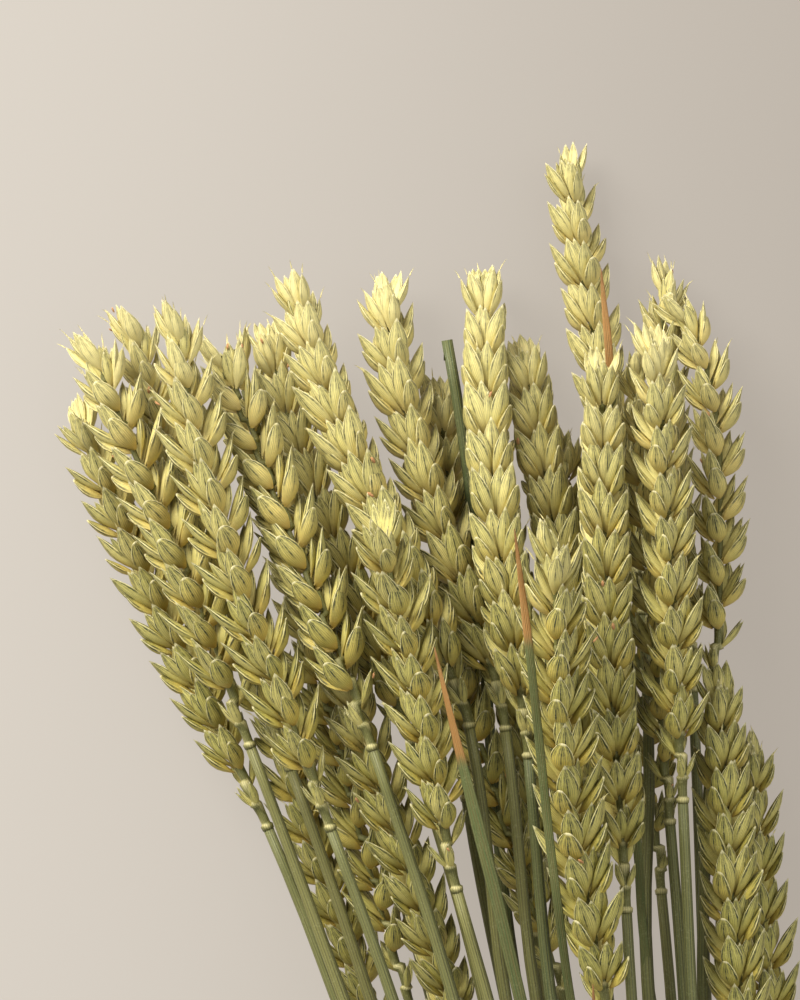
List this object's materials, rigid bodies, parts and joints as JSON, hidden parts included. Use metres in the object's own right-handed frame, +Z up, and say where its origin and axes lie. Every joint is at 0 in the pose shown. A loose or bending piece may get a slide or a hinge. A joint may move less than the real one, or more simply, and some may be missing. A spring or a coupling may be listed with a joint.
{
  "type": "bundle of dried wheat",
  "caption": "Tied bundle of dried wheat lying down: scaly golden-green ears on slim grey-green stems with straight cut ends, a band of twine and a few dry curled leaves.",
  "frame": {"origin": "under the middle of the bundle, on the surface that it lies on", "axes": "+Y along the stems from the cut ends to the ears, +Z up off the surface, +X to the right seen from above with the ears pointing away"},
  "size_m": [0.1758, 0.6222, 0.0558],
  "materials": {
    "ear": "matte",
    "stem": "matte",
    "twine": "matte"
  },
  "bodies": {
    "root": {"ear_01": "ear", "ear_02": "ear", "ear_03": "ear", "ear_04": "ear", "ear_05": "ear", "ear_06": "ear", "ear_07": "ear", "ear_08": "ear", "ear_09": "ear", "ear_10": "ear", "ear_11": "ear", "ear_12": "ear", "ear_13": "ear", "ear_14": "ear", "ear_15": "ear", "ear_16": "ear", "ear_17": "ear", "ear_18": "ear", "ear_19": "ear", "ear_20": "ear", "ear_21": "ear", "ear_22": "ear", "ear_23": "ear", "ear_24": "ear", "ear_25": "ear", "ear_26": "ear", "ear_27": "ear", "ear_28": "ear", "ear_29": "ear", "stem_01": "stem", "stem_02": "stem", "stem_03": "stem", "stem_04": "stem", "stem_05": "stem", "stem_06": "stem", "stem_07": "stem", "stem_08": "stem", "stem_09": "stem", "stem_10": "stem", "stem_11": "stem", "stem_12": "stem", "stem_13": "stem", "stem_14": "stem", "stem_15": "stem", "stem_16": "stem", "stem_17": "stem", "stem_18": "stem", "stem_19": "stem", "stem_20": "stem", "stem_21": "stem", "stem_22": "stem", "stem_23": "stem", "stem_24": "stem", "stem_25": "stem", "stem_26": "stem", "stem_27": "stem", "stem_28": "stem", "stem_29": "stem", "straw": "stem", "tie": "twine"}
  },
  "joints": []
}
